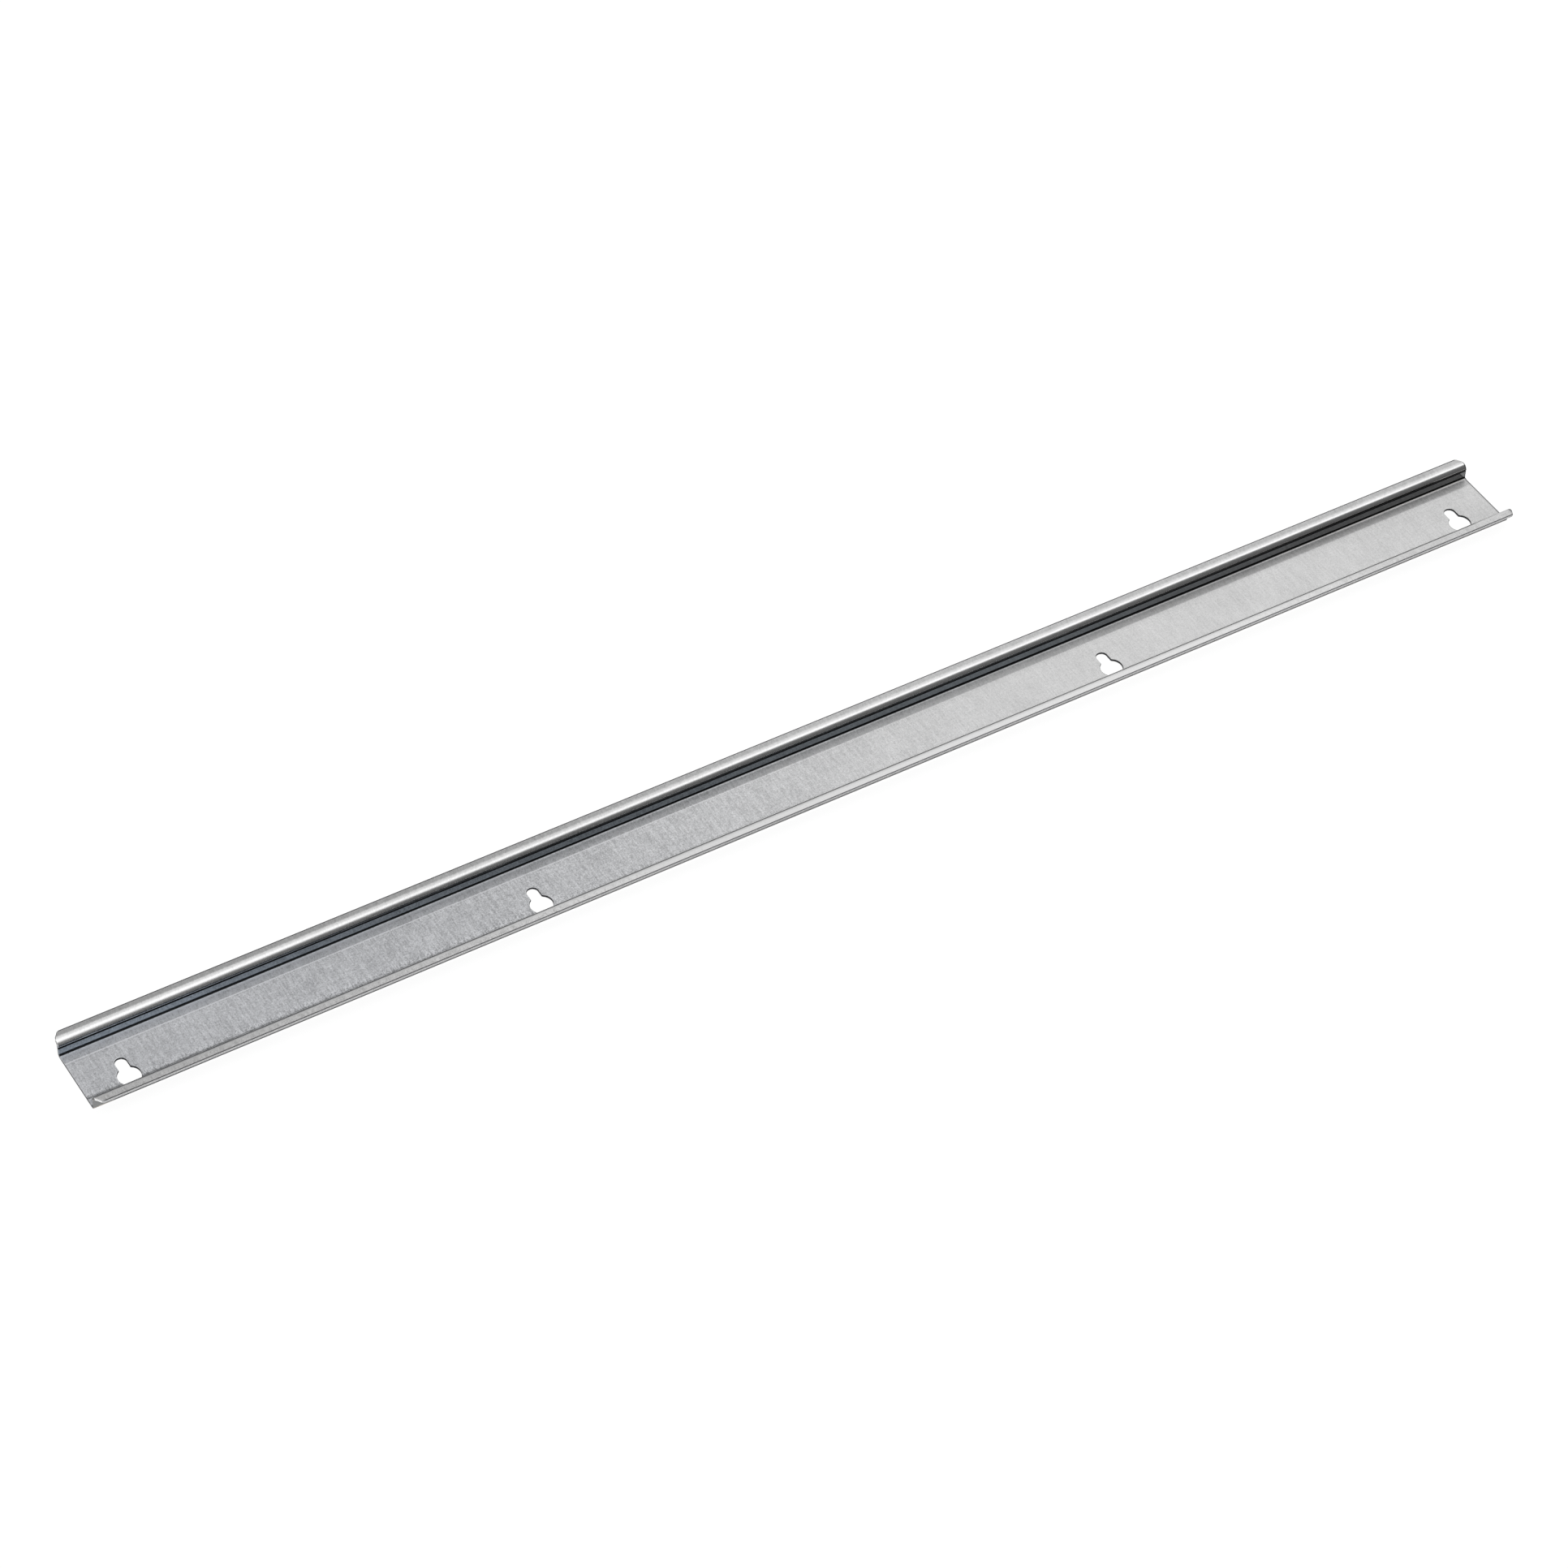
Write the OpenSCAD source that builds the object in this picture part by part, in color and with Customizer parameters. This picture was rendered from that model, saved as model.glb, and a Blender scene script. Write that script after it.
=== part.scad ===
// Top-hat mounting rail: one strip of zinc-coated steel, roll-formed to a hat section,
// punched with four keyholes and cut to length with its flange corners clipped.
// The rail lies on its base. X runs along it, Y across it, Z up from the base's underside.

/* [Rail] */
// Length of the rail
rail_l = 580; // [400:1:1200]
// Width over the two flanges
rail_w = 35; // [35:0.5:40]
// Height from the underside of the base to the top of the flanges
rail_h = 7.5; // [7:0.5:15]
// Thickness of the sheet
sheet_t = 1; // [0.8:0.1:1.2]
// Clear width of the channel between the two walls
channel_w = 25; // [22:0.5:25.5]

/* [Bends] */
// Radius of the upper bend on its outer face, from wall to flange
flange_bend_r = 3.3; // [1.8:0.1:4]
// Radius of the lower bend on its inner face, from base to wall
foot_bend_r = 0.5; // [0.2:0.1:1]

/* [Keyholes] */
// Distance between the outer two keyholes
outer_pitch = 547; // [300:1:1150]
// Distance between the inner two keyholes
inner_pitch = 235; // [60:1:270]
// Diameter of the round lobe that a screw head passes
lobe_d = 8.2; // [7:0.1:9]
// Width of the slot that holds the screw's shank
slot_w = 4.2; // [3.2:0.1:5]
// Distance from the lobe's centre to the shank's seat on the rail's centre line
lobe_offset = 6.3; // [5:0.1:7]

/* [Flange corners] */
// Length of the clipped corner along the rail
clip_l = 2.4; // [0.5:0.1:5]
// Width of the clipped corner across the flange
clip_w = 3.2; // [0.5:0.1:4]

/* [Hidden] */
zinc = [0.73, 0.75, 0.77];
foot_outer_r = foot_bend_r + sheet_t;
flange_inner_r = flange_bend_r - sheet_t;
wall_y = channel_w / 2;
keyholes_x = [-outer_pitch / 2, -inner_pitch / 2, inner_pitch / 2, outer_pitch / 2];
cut_over = 1;
$fn = 96;

// Quarter of a bent strip's section, in the quadrant that qx and qy point to
module bend(inner_r, outer_r, qx, qy) {
    intersection() {
        difference() {
            circle(r = outer_r);
            circle(r = inner_r);
        }
        translate([min(qx, 0) * outer_r, min(qy, 0) * outer_r])
            square(outer_r);
    }
}

// Section of one half of the hat, from the centre line out to the flange's edge
module half_section() {
    square([wall_y - foot_bend_r, sheet_t]);
    translate([wall_y - foot_bend_r, foot_outer_r])
        bend(foot_bend_r, foot_outer_r, 1, -1);
    translate([wall_y, foot_outer_r])
        square([sheet_t, rail_h - flange_bend_r - foot_outer_r]);
    translate([wall_y + flange_bend_r, rail_h - flange_bend_r])
        bend(flange_inner_r, flange_bend_r, -1, 1);
    translate([wall_y + flange_bend_r, rail_h - sheet_t])
        square([rail_w / 2 - wall_y - flange_bend_r, sheet_t]);
}

// The formed strip before punching
module hat_strip() {
    rotate([90, 0, 90])
        linear_extrude(height = rail_l, center = true) {
            half_section();
            mirror([1, 0]) half_section();
        }
}

// One keyhole punch: the lobe lies towards -Y, the slot's round end is the seat
module keyhole_punch() {
    translate([0, 0, -cut_over])
        linear_extrude(height = sheet_t + 2 * cut_over) {
            translate([0, -lobe_offset]) circle(d = lobe_d);
            circle(d = slot_w);
            translate([-slot_w / 2, -lobe_offset]) square([slot_w, lobe_offset]);
        }
}

// The wedge that is clipped off one flange corner
module corner_clip() {
    translate([rail_l / 2, rail_w / 2, foot_outer_r])
        linear_extrude(height = rail_h)
            polygon([
                [-clip_l - cut_over * clip_l / clip_w, cut_over],
                [cut_over, -clip_w - cut_over * clip_w / clip_l],
                [cut_over, cut_over]
            ]);
}

module rail() {
    color(zinc)
        difference() {
            hat_strip();
            for (x = keyholes_x)
                translate([x, 0, 0]) keyhole_punch();
            for (mx = [0, 1], my = [0, 1])
                mirror([mx, 0, 0]) mirror([0, my, 0]) corner_clip();
        }
}

rail();
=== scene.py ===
import math

import bmesh
import bpy
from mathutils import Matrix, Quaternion, Vector


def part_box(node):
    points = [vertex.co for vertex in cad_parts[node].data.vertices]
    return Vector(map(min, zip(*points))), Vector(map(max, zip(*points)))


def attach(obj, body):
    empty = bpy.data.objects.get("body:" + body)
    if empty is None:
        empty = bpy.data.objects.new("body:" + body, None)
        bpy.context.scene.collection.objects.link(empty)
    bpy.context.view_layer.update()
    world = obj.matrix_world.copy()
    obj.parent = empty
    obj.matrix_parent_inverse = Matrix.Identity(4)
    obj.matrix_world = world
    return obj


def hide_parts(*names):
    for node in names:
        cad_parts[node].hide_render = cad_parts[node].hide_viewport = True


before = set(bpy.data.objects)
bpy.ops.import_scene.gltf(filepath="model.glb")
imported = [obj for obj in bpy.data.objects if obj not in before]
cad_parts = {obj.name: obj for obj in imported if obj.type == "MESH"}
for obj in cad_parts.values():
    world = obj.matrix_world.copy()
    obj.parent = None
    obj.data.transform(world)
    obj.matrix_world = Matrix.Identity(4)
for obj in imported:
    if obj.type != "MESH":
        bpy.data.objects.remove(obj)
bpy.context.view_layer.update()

# The rail is one strip of 1 mm steel sheet with a zinc coating. It is roll-formed to a hat section,
# with wide bends under the flanges and tight ones at the base. It is punched with four keyholes and
# cut to length, and its flange corners are clipped. It lies on its base, with the channel open upwards.
low_corner, high_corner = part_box("rail")
rail_length, rail_width, rail_height = (round(size, 5) for size in high_corner - low_corner)
half_length = rail_length / 2
half_width = rail_width / 2
sheet = 0.001
channel_width = 0.025
wall_face = channel_width / 2
flange_bend = 0.0033
foot_bend = 0.0005
bends = ((rail_height, flange_bend, 24), (sheet, foot_bend, 8))
tiny = 1e-6
shortest_edge = 0.00006

strip = bmesh.new()
section = (
    (half_width, rail_height),
    (wall_face, rail_height),
    (wall_face, sheet),
    (-wall_face, sheet),
    (-wall_face, rail_height),
    (-half_width, rail_height),
)
corners = [strip.verts.new((-half_length, y, z)) for y, z in section]
outline = [strip.edges.new(pair) for pair in zip(corners, corners[1:])]
drawn = bmesh.ops.extrude_edge_only(strip, edges=outline)["geom"]
far_end = [part for part in drawn if isinstance(part, bmesh.types.BMVert)]
bmesh.ops.translate(strip, verts=far_end, vec=(rail_length, 0, 0))


def folds(height):
    """The strip's fold lines at one height."""
    return [
        edge for edge in strip.edges
        if all(
            abs(end.co.z - height) < tiny and abs(abs(end.co.y) - wall_face) < tiny
            for end in edge.verts
        )
    ]


for height, radius, steps in bends:
    bmesh.ops.bevel(
        strip, geom=folds(height), offset=radius, offset_type="OFFSET", affect="EDGES",
        segments=steps, profile=0.5, material=-1,
    )

# Each flange corner is clipped on its own, so no two are alike. A clip is given by its length along
# the rail and across the flange, and its two ends are blunted.
clips = {
    (-1, -1): (0.0020, 0.0030),
    (-1, 1): (0.0020, 0.0026),
    (1, 1): (0.0021, 0.0029),
    (1, -1): (0.0013, 0.0026),
}
clip_rounding = 0.00018


def cut(form, point, normal, clear=False):
    """Cuts a form along a plane, and clears what lies on the normal's side if asked."""
    bmesh.ops.bisect_plane(
        form, geom=form.verts[:] + form.edges[:] + form.faces[:], dist=tiny / 10,
        plane_co=point, plane_no=normal, clear_outer=clear,
    )


for (end, side), (length, width) in clips.items():
    slant = Vector((end * width, side * length, 0)).normalized()
    on_edge = Vector((end * (half_length - length), side * half_width, 0))
    on_end = Vector((end * half_length, side * (half_width - width), 0))
    cut(strip, on_edge, slant, clear=True)
    for corner, outward in ((on_edge, Vector((0, side, 0))), (on_end, Vector((end, 0, 0)))):
        turned = (slant + outward).normalized()
        cut(strip, corner - turned * clip_rounding, turned, clear=True)
bmesh.ops.remove_doubles(strip, verts=strip.verts, dist=shortest_edge)

# The keyholes are punched in the flat strip: a round lobe that a screw head passes, and a slot
# behind it that holds the screw's shank.
keyhole_places = (-0.2735, -0.1175, 0.1175, 0.2735)
lobe_radius = 0.0041
slot_radius = 0.0021
lobe_offset = 0.0063
half_neck = math.asin(slot_radius / lobe_radius)
nearly_flat = math.radians(0.5)

base = max(strip.faces, key=lambda face: face.calc_area())
rim = base.edges[:]
bmesh.ops.delete(strip, geom=[base], context="FACES_ONLY")
for place in keyhole_places:
    seat = Vector((place, 0, sheet))
    lobe = seat - Vector((0, lobe_offset, 0))
    arcs = (
        (seat, slot_radius, 0, math.pi, 24),
        (lobe, lobe_radius, math.pi / 2 + half_neck, 2 * (math.pi - half_neck), 56),
    )
    known = set(strip.verts)
    for centre, radius, start, sweep, steps in arcs:
        first = strip.verts.new(centre + radius * Vector((math.cos(start), math.sin(start), 0)))
        bmesh.ops.spin(strip, geom=[first], cent=centre, axis=(0, 0, 1), angle=sweep, steps=steps)
    made = [point for point in strip.verts if point not in known]
    loose = [point for point in made if len(point.link_edges) == 1]
    for side in (-1, 1):
        strip.edges.new([point for point in loose if (point.co.x - place) * side > 0])
    rim += dict.fromkeys(edge for point in made for edge in point.link_edges)
bmesh.ops.triangle_fill(strip, edges=rim, use_beauty=True, use_dissolve=False)
bmesh.ops.dissolve_limit(
    strip, angle_limit=nearly_flat, use_dissolve_boundaries=False,
    verts=strip.verts, edges=strip.edges,
)
bmesh.ops.recalc_face_normals(strip, faces=strip.faces)
if min(strip.faces, key=lambda face: face.calc_center_median().z).normal.z < 0:
    bmesh.ops.reverse_faces(strip, faces=strip.faces)

# The strip so far is the upper face of the steel. It gets the thickness of the sheet downwards.
sheet_mesh = bpy.data.meshes.new("rail_sheet")
strip.to_mesh(sheet_mesh)
strip.free()
sheet_object = bpy.data.objects.new("rail_sheet", sheet_mesh)
bpy.context.scene.collection.objects.link(sheet_object)
thickness = sheet_object.modifiers.new("sheet thickness", "SOLIDIFY")
thickness.thickness = sheet
thickness.offset = -1
thickness.use_even_offset = True
bpy.context.view_layer.update()
solid_mesh = bpy.data.meshes.new_from_object(
    sheet_object.evaluated_get(bpy.context.evaluated_depsgraph_get())
)
bpy.data.objects.remove(sheet_object)
solid = bmesh.new()
solid.from_mesh(solid_mesh)
bmesh.ops.remove_doubles(solid, verts=solid.verts, dist=tiny)

# The punch draws the keyholes' upper rims in, as a shallow slope. The slope's lower edge and the
# arrises of the ends, the clips and the lower rims are rounded, and the slit long edges hardly.
punched_rim = 0.0004
punched_drop = 0.00016
sheared_edge = 0.0002
slit_edge = 0.00008
arris_angle = math.radians(40)
foot_run = 0.00095
foot_rise = 0.00043


def sharp_edges():
    """The solid's arrises, without its folds."""
    return [
        edge for edge in solid.edges
        if len(edge.link_faces) == 2 and edge.calc_face_angle(0) > arris_angle
    ]


def rounded(edges, radius, steps=3):
    """Rounds arrises, or chamfers them with one step."""
    bmesh.ops.bevel(
        solid, geom=edges, offset=radius, offset_type="OFFSET", affect="EDGES",
        segments=steps, profile=0.5, material=-1, clamp_overlap=False,
    )


def on_base(point):
    """True on the upper face of the base, away from the rail's ends."""
    return (
        abs(point.co.y) < wall_face - foot_bend - tiny
        and abs(point.co.x) < half_length - tiny
        and abs(point.co.z - sheet) < tiny
    )


def is_long(edge):
    """True for an edge that runs the rail's length."""
    return abs(edge.verts[0].co.x - edge.verts[1].co.x) > half_length


rounded([edge for edge in sharp_edges() if all(map(on_base, edge.verts))], punched_rim, 1)
for point in solid.verts:
    if abs(point.co.y) < wall_face - foot_run and abs(point.co.z - sheet + punched_rim) < tiny:
        point.co.z = sheet - punched_drop
sheared = [edge for edge in sharp_edges() if not any(map(on_base, edge.verts)) and not is_long(edge)]
rounded(sheared, sheared_edge)
slit = [
    edge for edge in sharp_edges()
    if is_long(edge) and all(abs(end.co.y) > half_width - tiny for end in edge.verts)
]
rounded(slit, slit_edge)

# Each wall stands on a foot with a slope in place of a round bend. Below the wide bend the wall is set
# back a little and leans outwards, and the edge of the forming roll leaves a crease between them.
crease_top = 0.00506
crease_foot = 0.00485
crease_slack = 0.00003
foot_set_back = 0.00008
wall_set_back = 0.00024
end_angle = math.radians(10)

for side in (-1, 1):
    cut(solid, (0, side * (wall_face - foot_run), 0), (0, 1, 0))
for point in solid.verts:
    out = abs(point.co.y)
    height = point.co.z
    if wall_face - foot_run < out < wall_face + tiny and height > sheet / 2:
        into_bend = min(max(out - wall_face + foot_bend, 0), foot_bend)
        round_foot = foot_bend - math.sqrt(foot_bend ** 2 - into_bend ** 2)
        slope_foot = foot_rise * (out - wall_face + foot_run) / foot_run
        point.co.z += max(slope_foot - round_foot, 0)
    if out > wall_face - foot_bend - tiny and height < crease_top - tiny:
        share = min(max((height - sheet) / (crease_foot - sheet), 0), 1)
        moved = foot_set_back + (wall_set_back - foot_set_back) * share
        moved *= min((crease_top - height) / (crease_top - crease_foot), 1)
        point.co.y = math.copysign(out + moved, point.co.y)
for edge in solid.edges:
    height, other_height = (end.co.z for end in edge.verts)
    level = abs(height - other_height) < tiny
    on_crease = min(abs(height - crease_top), abs(height - crease_foot)) < crease_slack
    on_base_end = abs(height - sheet) < tiny and edge.calc_face_angle(0) > end_angle
    edge.smooth = not (level and (on_crease or on_base_end))

# The coating covers all but the cut faces. The slit long edges and the clip at the near left corner
# are bright bare steel, the clip also with a painted highlight. The cut ends, the other clips and the
# keyholes' walls are dark, partly in the steel's own tone and partly as painted shade.
coated, bright, dark = range(3)
clip_reach = 0.0032 + sheared_edge
above_bend = 0.006
square_on = 0.99
aslant = 0.1
leaning = 0.8

solid.normal_update()
for face in solid.faces:
    middle = face.calc_center_median()
    out = abs(middle.y)
    face.smooth = True
    face.material_index = coated
    if abs(middle.x) > half_length - sheared_edge - tiny:
        if middle.x > 0 or face.normal.x < -square_on:
            face.material_index = dark
    elif out > half_width - slit_edge:
        face.material_index = bright if abs(face.normal.y) > square_on else dark
    elif abs(face.normal.x) > aslant and out > half_width - clip_reach and middle.z > above_bend:
        face.material_index = bright if middle.x < 0 and middle.y < 0 else dark
    elif out < wall_face - foot_run and abs(face.normal.z) < leaning:
        face.material_index = dark
solid.to_mesh(solid_mesh)
solid.free()
rail = bpy.data.objects.new("rail_finished", solid_mesh)
bpy.context.scene.collection.objects.link(rail)
shading = rail.modifiers.new("flat faces stay flat", "WEIGHTED_NORMAL")
shading.mode = "FACE_AREA"
shading.weight = 50
shading.keep_sharp = True


class Field:
    """A socket of a node tree. Arithmetic on it adds Math nodes, and node adds any other kind."""

    def __init__(self, tree, socket=None):
        self.tree = tree
        self.socket = socket

    def node(self, kind, settings=None, sockets=None, output=0):
        """Adds a node: its settings first, then its sockets' values or links."""
        made = self.tree.nodes.new(kind)
        settings = dict(settings or {})
        stops = settings.pop("stops", ())
        for name, value in settings.items():
            setattr(made, name, value)
        if stops:
            ramp = made.color_ramp
            while len(ramp.elements) < len(stops):
                ramp.elements.new(1)
            for element, (position, colour) in zip(ramp.elements, stops):
                element.position = position
                element.color = (*colour, 1)
        for name, value in (sockets or {}).items():
            if isinstance(value, Field):
                self.tree.links.new(value.socket, made.inputs[name])
            else:
                made.inputs[name].default_value = value
        return Field(self.tree, made.outputs[output] if made.outputs else None)

    def maths(self, operation, *values):
        """Adds a Math node on one or two values."""
        return self.node("ShaderNodeMath", {"operation": operation}, dict(enumerate(values)))

    def __add__(self, other):
        return self.maths("ADD", self, other)

    __radd__ = __add__

    def __sub__(self, other):
        return self.maths("SUBTRACT", self, other)

    def __rsub__(self, other):
        return self.maths("SUBTRACT", other, self)

    def __mul__(self, other):
        return self.maths("MULTIPLY", self, other)

    __rmul__ = __mul__

    def __pow__(self, power):
        return self.maths("POWER", self, power)

    def __neg__(self):
        return 0 - self

    def __abs__(self):
        return self.maths("ABSOLUTE", self)


def empty_material(name):
    """A new material, and the first Field of its empty node tree."""
    material = bpy.data.materials.new(name)
    material.use_nodes = True
    material.node_tree.nodes.clear()
    return material, Field(material.node_tree)


def larger(one, other):
    """The larger of a field and a field or number."""
    return one.maths("MAXIMUM", one, other)


def part(vector, axis):
    """One part of a vector: X, Y or Z."""
    return vector.node("ShaderNodeSeparateXYZ", sockets={"Vector": vector}, output=axis)


def step(value, low, high):
    """0 below low, 1 above high, and smooth between them."""
    return value.node(
        "ShaderNodeMapRange", {"interpolation_type": "SMOOTHSTEP"},
        {"Value": value, "From Min": low, "From Max": high},
    )


def band(value, start, full, fade, end):
    """1 between full and fade, 0 before start and after end, and smooth between them."""
    return step(value, start, full) * (1 - step(value, fade, end))


def stretched(where, scale):
    """A place in units that are finer across a grain than along it."""
    return where.node("ShaderNodeMapping", sockets={"Vector": where, "Scale": scale})


def noise(where, scale, detail, rough=0.5):
    """Noise around 0.5. Its scale is in cells to the metre."""
    return where.node(
        "ShaderNodeTexNoise",
        sockets={"Vector": where, "Scale": scale, "Detail": detail, "Roughness": rough},
    )


def tinted(colour, mask, tint):
    """The colour, multiplied by a tint where the mask is 1."""
    factor, first, second, mixed = 0, 6, 7, 2
    return colour.node(
        "ShaderNodeMix", {"data_type": "RGBA", "blend_type": "MULTIPLY"},
        {factor: mask, first: colour, second: (*tint, 1)}, output=mixed,
    )


# The coating is a satin grey with a speckle of tenths of a millimetre, fine streaks across the rail
# and long ones from the rolling.
zinc, metal = empty_material("zinc_coated_sheet")
place = metal.node("ShaderNodeTexCoord", output="Object")
along, across, up = part(place, "X"), part(place, "Y"), part(place, "Z")
off_middle = abs(across)
speckle = noise(stretched(place, (1.0, 0.7, 1.0)), 2300, 2, 0.65)
grain = noise(stretched(place, (1.0, 0.45, 1.0)), 900, 2)
streaks = noise(stretched(place, (1.0, 0.1, 1.0)), 1600, 1)
rolled = noise(stretched(place, (0.01, 1.0, 1.0)), 1500, 3)
clouds = noise(place, 60, 2)
mottle = 0.55 * speckle + 0.13 * grain + 0.22 * streaks + 0.1 * rolled

# Masks along the rail. Towards the left end the grey is darker and cooler, as painted shade, and more
# speckled.
left = 1 - step(along, -0.23, 0.12)
far_left = 1 - step(along, -0.29, -0.08)
grainy = 1 - step(along, -0.12, 0.10)
mid_length = band(along, -0.16, -0.02, 0.12, 0.28)
far_right = step(along, 0.06, 0.27)

# Masks across the section, from the base over the walls and bends to the flanges. They carry painted
# shade, painted highlights and changes in the speckle.
wall = band(up, 0.00105, 0.0015, 0.0048, 0.0062)
bent = band(up, 0.00105, 0.0015, 0.0069, 0.00745)
near_flange = step(-across, 0.0112, 0.0135)
far_flange = step(across, 0.0150, 0.0158)
flat_sides = step(off_middle, 0.0086, 0.0094) * (1 - bent)
bend_shine = band(off_middle, 0.0127, 0.0133, 0.0150, 0.0156) * step(up, 0.0058, 0.0062)
bend_contour = step(-across, 0.0125, 0.0130) * band(up, 0.0055, 0.0060, 0.0068, 0.0074)
outer_wall = step(off_middle, 0.01325, 0.0134) * (1 - step(up, 0.0060, 0.0064))
hammered = (
    step(-across, 0.0060, 0.0078) * (1 - step(along, -0.15, -0.08)) * (1 - step(up, 0.0011, 0.0013))
)

# Two dark lines on each wall are painted shade in the creases: one under the wide bend, one on
# the foot. Both widen from the left end to the middle of the rail. Along the base run a painted
# reflection of the far bend's highlight and a painted shade line beside the near bend's contour,
# and on the left a painted highlight lies at the foot of the far wall.
right_end = step(along, 0.18, 0.25)
upper_line_rise = step(along, -0.28, -0.09)
foot_line_rise = step(along, -0.25, -0.07)
upper_line = (
    step(up - 0.00025 * upper_line_rise, 0.00396, 0.00412)
    * (1 - step(up - 0.00037 * upper_line_rise - 0.00022 * right_end, 0.00474, 0.00514))
)
foot_start = 0.0001 * foot_line_rise - 0.00006 * (step(along, -0.06, 0.08) - right_end)
foot_line = (
    0.985 * step(up - foot_start, 0.00113, 0.00123)
    * (1 - step(up - 0.00045 * foot_line_rise, 0.00143, 0.00157))
)
crease_shade = band(off_middle, 0.0119, 0.0120, 0.0131, 0.0133) * larger(upper_line, foot_line)
bend_reflection_line = 1 - step(abs(across - 0.0083), 0.00012, 0.00035)
contour_shade_line = 1 - step(abs(across + 0.0088), 0.0002, 0.0005)
far_foot_glint = (
    band(off_middle, 0.0110, 0.0113, 0.0118, 0.0120) * (1 - step(along, -0.16, -0.02))
    * step(across, 0.0, 0.001)
)


def near_line(out, height, inner, outer):
    """1 within inner of a line along the rail, and 0 further from it than outer."""
    sideways = off_middle - out
    upward = up - height
    return 1 - step((sideways * sideways + upward * upward) ** 0.5, inner, outer)


# Painted shade: dark lines along the arrises, at the right end, on the near flange's right tip and
# on the keyholes' rims where the punch has drawn them down, with a thin painted highlight at each
# rim's top edge.
arrises = larger(
    near_line(half_width - 0.00005, rail_height, 0.0002, 0.00044),
    near_line(half_width, rail_height - sheet, 0.00015, 0.0004),
)
right_end_shade = step(along, half_length - 0.00075, half_length - 0.00035)
near_right_tip = step(along, half_length - 0.0018, half_length - 0.0004) * near_flange
left_arris = 1 - step(along, 0.0030 - half_length, 0.0100 - half_length)
rim_depth = (sheet - up) * (1 - step(off_middle, 0.0105, 0.0110))
rim_light = band(rim_depth, 0.00001, 0.00003, 0.00004, 0.00006)
rim_shade = band(rim_depth, 0.00005, 0.00008, 0.00030, 0.00040)

contrast = (
    1.6 * (0.95 + 1.75 * grainy - 0.5 * far_left) * (1 + 1.3 * hammered) * (1 - 0.75 * bend_shine)
    * (1 - 0.45 * near_flange - 0.3 * far_flange - 0.35 * flat_sides * (1 - near_flange))
)
pattern = (
    contrast * (mottle - 0.5) + 0.3 * (clouds - 0.5) + 0.5 * flat_sides * (grain + speckle - 1)
)
# Painted highlights: the far bend's reflection and the glint on the base, the keyhole rims, the bends,
# the near flange in the middle of the rail and the flat strips along the walls.
painted_highlights = (
    0.6 * bend_reflection_line * grainy + 0.5 * rim_light + 0.4 * far_foot_glint + 0.25 * bend_shine
    + 0.5 * near_flange * mid_length + 0.2 * flat_sides * (1 - far_right)
)
greys = ((0.0, (0.505, 0.505, 0.505)), (0.5, (0.757, 0.757, 0.757)), (1.0, (1.0, 1.0, 1.0)))
tone = metal.node("ShaderNodeValToRGB", {"stops": greys}, {"Fac": 0.5 + pattern + painted_highlights})

# The grey is shaded step by step with painted shade and the painted colours of reflections. Each mask
# stands with the tint that it lays on.
black = (0.0, 0.0, 0.0)
foot_of_near_wall = step(-across, 0.0072, 0.0084) * (1 - bent) * (1 - near_flange)
painted_shades = (
    # Painted shade on the walls, which mirror the dark side of the room, cool at the left end and warm
    # at the right.
    (wall * (1 - far_left * (0.34 + 0.25 * step(up, 0.0047, 0.0052))), (0.27, 0.3, 0.325)),
    (0.25 * wall * far_right, black),
    (wall * far_left, (0.88, 0.96, 1.05)),
    (wall * far_right, (1.1, 1.0, 0.93)),
    # Painted shade along the near bend's contour and on the outer walls under the flanges, lighter and
    # browner near the left end.
    (bend_contour, (0.27, 0.27, 0.27)),
    (outer_wall * (1 - left_arris), (0.3, 0.29, 0.28)),
    (outer_wall * left_arris, (0.95, 0.85, 0.75)),
    # Painted shade towards the left end, beside the near bend's contour and at the foot of the near
    # wall, with a cool painted tint on the left.
    (0.12 * (left - 0.9 * far_left), black),
    (contour_shade_line * (0.15 * left + 0.35 * far_left), black),
    (0.2 * far_left * foot_of_near_wall, black),
    (left * (1 - step(off_middle, 0.0120, 0.0125)), (0.98, 0.995, 1.03)),
    # Painted shade on the flanges at the left end, on the far flange, and on all but the near flange.
    (far_left * (0.27 * near_flange + 0.12 * far_flange), black),
    (far_flange * (0.02 + 0.24 * left), black),
    (0.12 * (1 - near_flange), black),
    # Painted dark lines: the right end, the near flange's right tip, the keyhole rims, the creases and
    # the arrises.
    (right_end_shade, (0.35, 0.35, 0.35)),
    (near_right_tip, (0.4, 0.4, 0.4)),
    (rim_shade, (0.08, 0.08, 0.08)),
    (crease_shade, (0.01, 0.01, 0.011)),
    (arrises, (0.2, 0.2, 0.21)),
)
for mask, tint in painted_shades:
    tone = tinted(tone, mask, tint)

speckle_depth = 0.000012
relief = metal.node(
    "ShaderNodeBump",
    sockets={"Distance": speckle_depth, "Height": mottle * (1 - 0.5 * bent - 0.35 * wall)},
)
surface = metal.node(
    "ShaderNodeBsdfPrincipled",
    sockets={
        "Base Color": tone,
        "Metallic": 1.0,
        "Roughness": 0.17 + 0.06 * speckle - 0.06 * bent + (0.38 - 0.1 * far_right) * flat_sides,
        "Normal": relief,
    },
)
metal.node("ShaderNodeOutputMaterial", sockets={"Surface": surface})

# The cut faces are bare steel, torn by the tool in short lines through the thickness. They are bright
# where the steel was slit, and dark where it was sheared or punched, with a paler torn lower edge.
# The dark is partly the steel's own tone and partly painted shade, and the near left clip carries a
# painted highlight.
tear_depth = 0.00002


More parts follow.
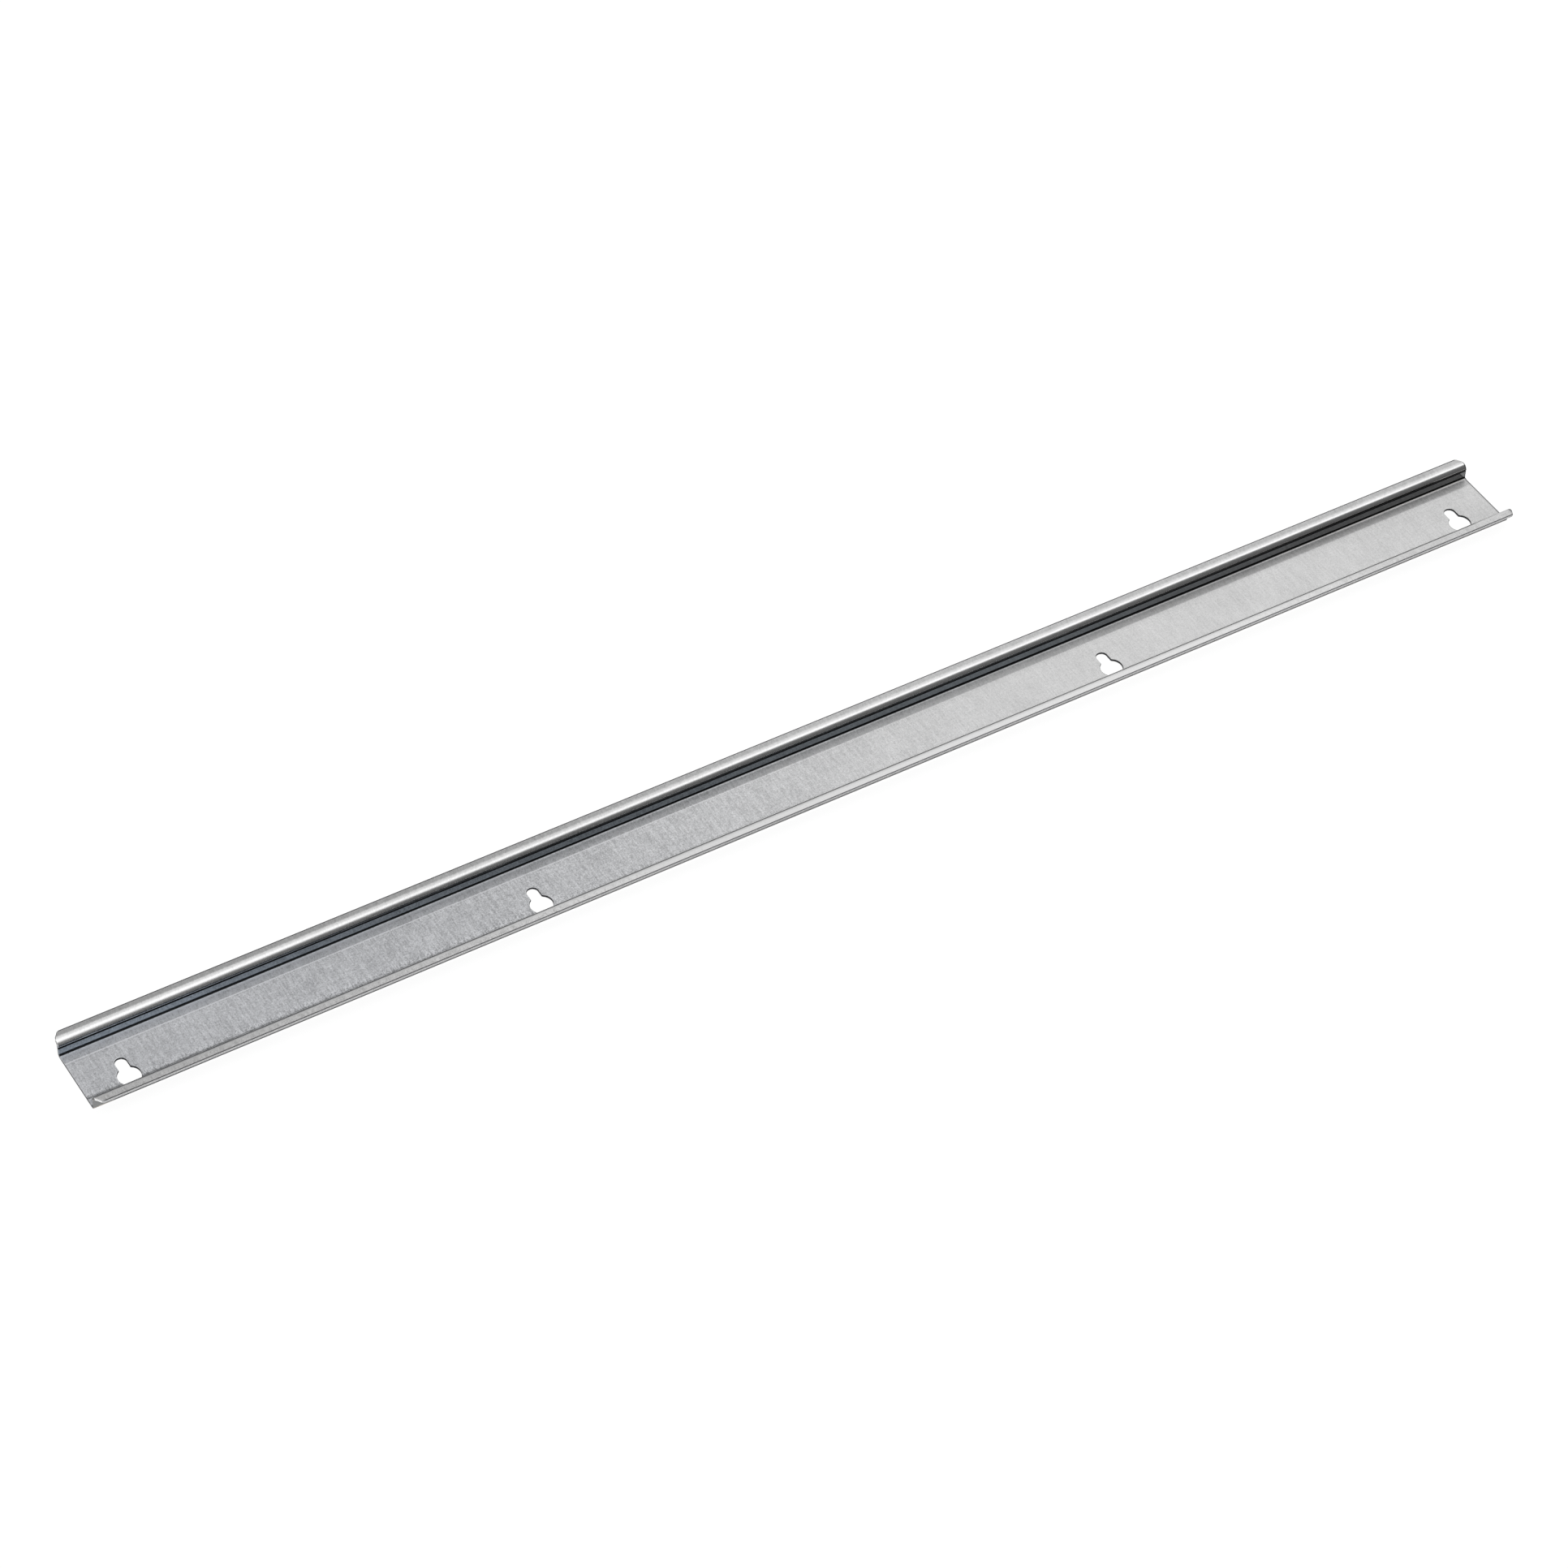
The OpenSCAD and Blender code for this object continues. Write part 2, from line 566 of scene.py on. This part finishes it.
def cut_face(metal, place, stops, lighter):
    """Finishes a cut face: torn lines in the stops' colours, lighter where the mask is."""
    torn_lines = noise(stretched(place, (1.0, 1.0, 0.2)), 3500, 2)
    tone = metal.node("ShaderNodeValToRGB", {"stops": stops}, {"Fac": torn_lines + lighter})
    relief = metal.node("ShaderNodeBump", sockets={"Distance": tear_depth, "Height": torn_lines})
    surface = metal.node(
        "ShaderNodeBsdfPrincipled",
        sockets={
            "Base Color": tone, "Metallic": 1.0, "Roughness": 0.35 + 0.15 * torn_lines,
            "Normal": relief,
        },
    )
    metal.node("ShaderNodeOutputMaterial", sockets={"Surface": surface})


bright_cut, metal = empty_material("sheared_steel_edge")
place = metal.node("ShaderNodeTexCoord", output="Object")
clip_greys = ((0.3, (0.40, 0.40, 0.41)), (0.7, (0.62, 0.62, 0.62)), (1.0, (0.97, 0.97, 0.97)))
# Painted highlight: the clip at the near left corner faces the light and is lighter.
on_clip = 1 - step(part(place, "X"), 0.0015 - half_length, 0.0020 - half_length)
cut_face(metal, place, clip_greys, 0.5 * on_clip)

dark_cut, metal = empty_material("punched_steel")
place = metal.node("ShaderNodeTexCoord", output="Object")
up = part(place, "Z")
in_base = 1 - step(abs(part(place, "Y")), 0.0108, 0.0110)
in_hole = in_base * (1 - step(abs(part(place, "X")), 0.2885, 0.2888))
torn_edge = in_hole * (1 - step(up, 0.00015, 0.00030))
wall_end = band(up, 0.0013, 0.0020, 0.0048, 0.0060)
dark_greys = ((0.3, (0.02, 0.02, 0.022)), (0.7, (0.06, 0.06, 0.065)), (1.0, (0.9, 0.9, 0.9)))
cut_face(metal, place, dark_greys, 0.5 * torn_edge + 0.22 * wall_end)

for finish in (zinc, bright_cut, dark_cut):
    solid_mesh.materials.append(finish)

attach(rail, "root")
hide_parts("rail")

# The table is a pale sheet that runs on past every edge of the picture. It is plain white, keeps
# the rail's soft shadow, and shows white in the metal too.
table_half = 12.0
table_drop = 0.00005
white_share = 0.82
white_glow = 1.13
paper_grey = (0.88, 0.88, 0.88, 1)
white = (1, 1, 1, 1)

table_form = bmesh.new()
bmesh.ops.create_grid(table_form, x_segments=1, y_segments=1, size=table_half)
bmesh.ops.translate(table_form, verts=table_form.verts, vec=(0, 0, -table_drop))
table_mesh = bpy.data.meshes.new("table")
table_form.to_mesh(table_mesh)
table_form.free()
table = bpy.data.objects.new("table", table_mesh)
bpy.context.scene.collection.objects.link(table)
paper, pulp = empty_material("white_paper")
seen = pulp.node("ShaderNodeLightPath", output="Is Camera Ray")
mirrored = pulp.node("ShaderNodeLightPath", output="Is Glossy Ray")
through = pulp.node("ShaderNodeLightPath", output="Is Transmission Ray")
matt = pulp.node("ShaderNodeBsdfDiffuse", sockets={"Color": paper_grey})
glow = pulp.node("ShaderNodeEmission", sockets={"Color": white, "Strength": white_glow})
both = pulp.node(
    "ShaderNodeMixShader", sockets={0: white_share * (seen + mirrored + through), 1: matt, 2: glow}
)
pulp.node("ShaderNodeOutputMaterial", sockets={"Surface": both})
table_mesh.materials.append(paper)

# The studio is a soft white room. A long soft light hangs over the rail and in front of it, at a
# slant to it, and the side behind the camera is dark.
world = bpy.data.worlds.new("studio")
bpy.context.scene.world = world
world.use_nodes = True
world.node_tree.nodes.clear()
room = Field(world.node_tree)
heading = room.node("ShaderNodeTexCoord", output="Generated")
skew = 1.4
skew_centre = 0.38


def levels(value, stops):
    """Levels of up to 2 along a value from -1 to 1. A ramp holds 0 to 1, so both are halved in it."""
    halved = tuple(((at + 1) / 2, (height / 2,) * 3) for at, height in stops)
    return 2 * room.node("ShaderNodeValToRGB", {"stops": halved}, {"Fac": value * 0.5 + 0.5})


to_right = part(heading, "X")
tilt = -part(heading, "Y") * (1 - to_right * to_right) ** -0.5
skewed = tilt + skew * (to_right - skew_centre) * larger(tilt, 0.0)
softbox = levels(skewed, (
    (-0.13, 0.0), (-0.04, 0.92), (0.14, 1.28), (0.34, 1.4), (0.51, 1.3), (0.59, 0.8),
    (0.65, 0.42), (0.72, 0.22), (0.82, 0.16), (1.0, 0.13),
))
behind = levels(tilt, ((-1.0, 0.7), (-0.6, 1.0), (-0.2, 1.0), (0.0, 0.0)))
sideways = levels(to_right, (
    (-1.0, 0.6), (0.2, 0.64), (0.29, 0.69), (0.35, 0.8), (0.41, 1.0), (0.46, 1.03), (0.52, 0.9),
    (0.8, 0.75),
))
strength = softbox + behind * sideways
seen = room.node("ShaderNodeLightPath", output="Is Camera Ray")
light = room.node(
    "ShaderNodeBackground", sockets={"Color": white, "Strength": strength * (1 - seen) + seen}
)
room.node("ShaderNodeOutputWorld", sockets={"Surface": light})

# The camera looks down on the rail from its front left, with a long lens.
camera_data = bpy.data.cameras.new("camera")
camera_data.sensor_width = 36
camera_data.lens = 115.64
camera_data.clip_end = 60
camera = bpy.data.objects.new("camera", camera_data)
bpy.context.scene.collection.objects.link(camera)
camera.location = (-0.68833, -1.02083, 1.27470)
aim = Vector((-0.01558, 0.00171, 0.001))
roll = math.radians(2.92)
camera.rotation_mode = "QUATERNION"
camera.rotation_quaternion = (
    (aim - camera.location).to_track_quat("-Z", "Y") @ Quaternion((0, 0, 1), roll)
)
bpy.context.scene.camera = camera
bpy.context.scene.view_settings.view_transform = "Standard"

bpy.context.view_layer.update()
